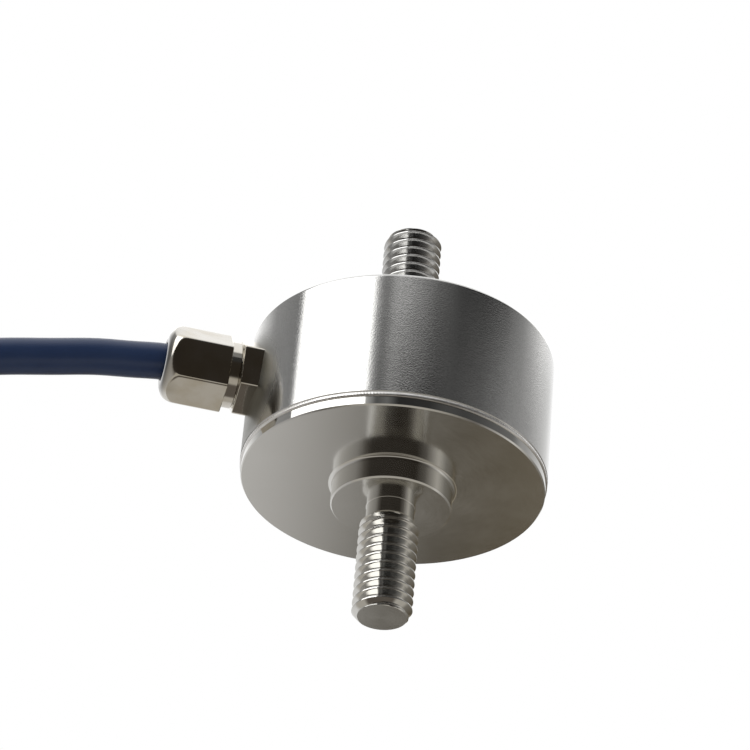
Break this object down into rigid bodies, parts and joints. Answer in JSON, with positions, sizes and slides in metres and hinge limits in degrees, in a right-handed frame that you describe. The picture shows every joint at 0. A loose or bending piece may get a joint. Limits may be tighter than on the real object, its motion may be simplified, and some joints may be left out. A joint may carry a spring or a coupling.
{
  "type": "miniature force sensor",
  "caption": "In-line tension and compression force sensor: round steel housing with a threaded stud at each end and a cable gland at the side.",
  "frame": {"origin": "on the stud axis, at the seat face of the upper boss, where the upper stud starts", "axes": "+Z along the studs towards the upper stud's end, the cable gland points along -X"},
  "size_m": [0.072, 0.052, 0.0931],
  "materials": {
    "housing_steel": "turned and fine ground, reflective",
    "element_steel": "turned, satin face with bright edges",
    "weld_steel": "laser weld bead",
    "gland_nickel": "nickel plated, bright",
    "gauge_foil": "foil on a thin carrier",
    "copper_wire": "bare copper",
    "board_green": "solder mask",
    "pin_gold": "gold plated",
    "resistor_black": "chip resistor",
    "core_red": "smooth insulation",
    "core_black": "smooth insulation",
    "core_green": "smooth insulation",
    "core_white": "smooth insulation",
    "seal_rubber": "soft rubber",
    "ring_brass": "turned",
    "cable_jacket": "smooth glossy jacket, very dark blue",
    "tie_black": "moulded",
    "shrink_black": "shrink sleeve",
    "drain_tinned": "tinned copper strands"
  },
  "bodies": {
    "root": {"housing": "housing_steel", "measuring_element": "element_steel", "seam_weld": "weld_steel", "strain_gauge_1": "gauge_foil", "strain_gauge_2": "gauge_foil", "strain_gauge_3": "gauge_foil", "strain_gauge_4": "gauge_foil", "gauge_wires": "copper_wire", "terminal_board": "board_green", "terminal_pins": "pin_gold", "trim_resistor_1": "resistor_black", "trim_resistor_2": "resistor_black", "trim_resistor_3": "resistor_black", "core_red": "core_red", "core_black": "core_black", "core_green": "core_green", "core_white": "core_white", "gland_body": "gland_nickel", "gland_o_ring": "seal_rubber", "seal_sleeve": "seal_rubber", "pressure_ring": "ring_brass", "cap_nut": "gland_nickel", "clamped_cable": "cable_jacket", "cable": "cable_jacket", "cable_coil": "cable_jacket", "cable_tail": "cable_jacket", "coil_tie_top": "tie_black", "coil_tie_bottom": "tie_black", "end_sleeve": "shrink_black", "lead_red": "core_red", "lead_black": "core_black", "lead_green": "core_green", "lead_white": "core_white", "shield_drain": "drain_tinned"}
  },
  "joints": []
}
